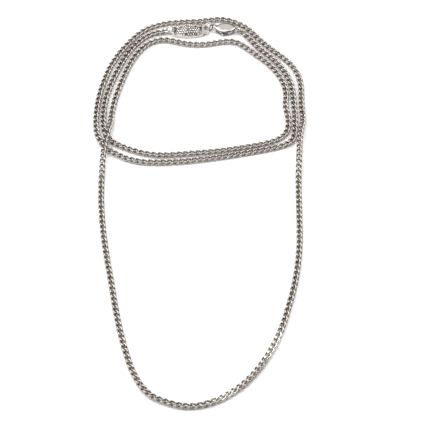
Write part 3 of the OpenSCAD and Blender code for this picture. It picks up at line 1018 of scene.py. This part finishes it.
def build_lever():
    """The gate: a hub on the pin, an arm that shuts the hook, and a thumb tab."""
    hub = pillow(circle_outline(PIVOT, HUB_R), (*PIVOT, MID_H), LEVER_H, HUB_SQUARE)
    reach = np.linspace(0, 1, 20)
    level = 0 * reach + MID_H
    arm_path = np.stack([
        ARM_TIP[0] + (PIVOT[0] - ARM_TIP[0]) * reach, ARM_TIP[1] - ARM_SAG * reach**2, level
    ], 1)
    tip = np.sqrt(np.clip(smooth_step(-0.04, 0.1, reach), 0.05, 1))
    arm = tube(arm_path, (ARM_HALF + ARM_SPREAD * reach) * tip, LEVER_H / 2 * tip)
    tab_path = np.stack([
        PIVOT[0] + TAB_X + 0 * reach, PIVOT[1] + TAB_LOW + TAB_LONG * reach, level
    ], 1)
    tab_half = TAB_HALF - TAB_WAIST * np.sin(reach * math.pi)
    tab = tube(tab_path, tab_half * tip, LEVER_H / 2 * tip)
    obj = cast("clasp_gate", [hub, arm, tab], LEVER_VOXEL, LEVER_ROUNDS)
    hole_r = PIN_R + 0.03
    cut(obj, *lathe(PIVOT, [(hole_r, -1), (hole_r, CLASP_H + 1)], 40))
    x, y, z = points_of(obj).T
    from_pin = np.hypot(x - PIVOT[0], y - PIVOT[1])
    # Darker towards the pin.
    shade_and_tarnish = HUB_DARKENING * (1 - smooth_step(*HUB_REACH, from_pin))
    on_clasp(obj)
    paint(obj, "shade_and_tarnish", np.clip(shade_and_tarnish, 0, 1))
    finish_piece(obj, CLASP_SILVER, "clasp_lever")


def build_pin():
    """Rivet with a slightly domed head, flush with the clasp's face."""
    low, high = pin_low[2], pin_high[2]
    profile = [(PIN_R, low)] + [
        (PIN_R * math.cos(a), high - PIN_DOME * (1 - math.sin(a)))
        for a in np.linspace(0, 1.45, 7)
    ]
    obj = mesh_object("rivet", *lathe(PIVOT, profile, 40))
    outward(obj)
    on_clasp(obj)
    finish_piece(obj, STEEL, "clasp_pin")


def build_spring():
    """Bent spring wire between the slot's back and the lever's hub."""
    bend = np.radians(np.linspace(SPRING_FROM, SPRING_TO, 24))
    path = np.stack([
        PIVOT[0] + SPRING_R * np.cos(bend), PIVOT[1] + SPRING_R * np.sin(bend), 0 * bend + MID_H
    ], 1)
    ends = np.sqrt(np.clip(np.minimum(bend - bend[0], bend[-1] - bend) / 0.08, 0.1, 1))
    wire_r = SPRING_WIRE_R * ends
    obj = mesh_object("spring_wire", *tube(path, wire_r, wire_r, 12))
    outward(obj)
    on_clasp(obj)
    finish_piece(obj, SPRING_STEEL, "clasp_spring")


build_clasp()
build_lever()
build_pin()
build_spring()

# ---- Floor, light ---------------------------------------------------------------------------

FLOOR_HALF = 6000
FLOOR_STEPS = 13
TOOTH_SIZE, TOOTH_DEPTH = 0.35, 0.02
CLOUD_SIZE = 60
FLOOR_SHADES = (0.93, 0.93, 0.93), (0.96, 0.96, 0.96)
# Room and backdrop, the direction of the backdrop, and where it begins and is full, as the
# cosine of the angle from that direction.
ROOM_SHADE = (0.03, 0.028, 0.026)
BACKDROP_SHADE = (0.95, 0.95, 0.95)
BACKDROP_WAY = Vector((-0.05, 0.63, 0.777)).normalized()
BACKDROP_FROM, BACKDROP_FULL = 0.88, 0.97
# Softboxes: place, size and watts.
SOFTBOXES = {
    "key": ((-600, 100, 950), (1600, 1500), 22),
    "fill": ((750, 250, 850), (900, 900), 9),
}


def floor():
    """Pale matte table with a faint, fine tooth."""
    n = Nodes("pale table")
    tooth = n.noise(TOOTH_SIZE, 3)
    cloud = n.noise(CLOUD_SIZE, 2)
    n.link(n.mix(cloud, *FLOOR_SHADES), n.shader.inputs["Base Color"])
    n.link(n.remap(tooth, 0.3, 0.7, 0.75, 0.9), n.shader.inputs["Roughness"])
    n.shader.inputs["Specular IOR Level"].default_value = 0.2
    n.bump(tooth, 0.15, TOOTH_DEPTH)
    z = cad_box[0][2] / MM
    steps = np.linspace(-FLOOR_HALF, FLOOR_HALF, FLOOR_STEPS)
    x, y = np.meshgrid(steps, steps, indexing="ij")
    verts = np.stack([x.ravel(), y.ravel(), np.full(x.size, z)], 1)
    obj = mesh_object("table", verts, grid_faces(FLOOR_STEPS, FLOOR_STEPS, False, False))
    outward(obj)
    obj.data.materials.append(n.material)


def softbox(name, place_mm, size_mm, watts):
    """A rectangle of soft light that looks at the middle of the necklace."""
    data = bpy.data.lights.new(name, "AREA")
    data.shape = "RECTANGLE"
    data.size, data.size_y = size_mm[0] * MM, size_mm[1] * MM
    data.energy = watts
    obj = bpy.data.objects.new(name, data)
    obj.location = Vector(place_mm) * MM
    obj.rotation_euler = (-obj.location).to_track_quat("-Z", "Y").to_euler()
    bpy.context.scene.collection.objects.link(obj)


def surroundings():
    """Dim room with a pale backdrop beyond the necklace, so that silver has contrast."""
    world = bpy.data.worlds.new("studio")
    world.use_nodes = True
    bpy.context.scene.world = world
    tree = world.node_tree
    back = tree.nodes["Background"]
    place = tree.nodes.new("ShaderNodeTexCoord")
    dot = tree.nodes.new("ShaderNodeVectorMath")
    dot.operation = "DOT_PRODUCT"
    dot.inputs[1].default_value = BACKDROP_WAY
    tree.links.new(place.outputs["Generated"], dot.inputs[0])
    ramp = tree.nodes.new("ShaderNodeValToRGB")
    for element, (position, shade) in zip(
        ramp.color_ramp.elements, ((BACKDROP_FROM, ROOM_SHADE), (BACKDROP_FULL, BACKDROP_SHADE))
    ):
        element.position = position
        element.color = (*shade, 1)
    tree.links.new(dot.outputs["Value"], ramp.inputs["Fac"])
    tree.links.new(ramp.outputs["Color"], back.inputs["Color"])
    back.inputs["Strength"].default_value = 1


floor()
surroundings()
for name, (place, size, watts) in SOFTBOXES.items():
    softbox(name, place, size, watts)
bpy.context.scene.view_settings.view_transform = "Standard"
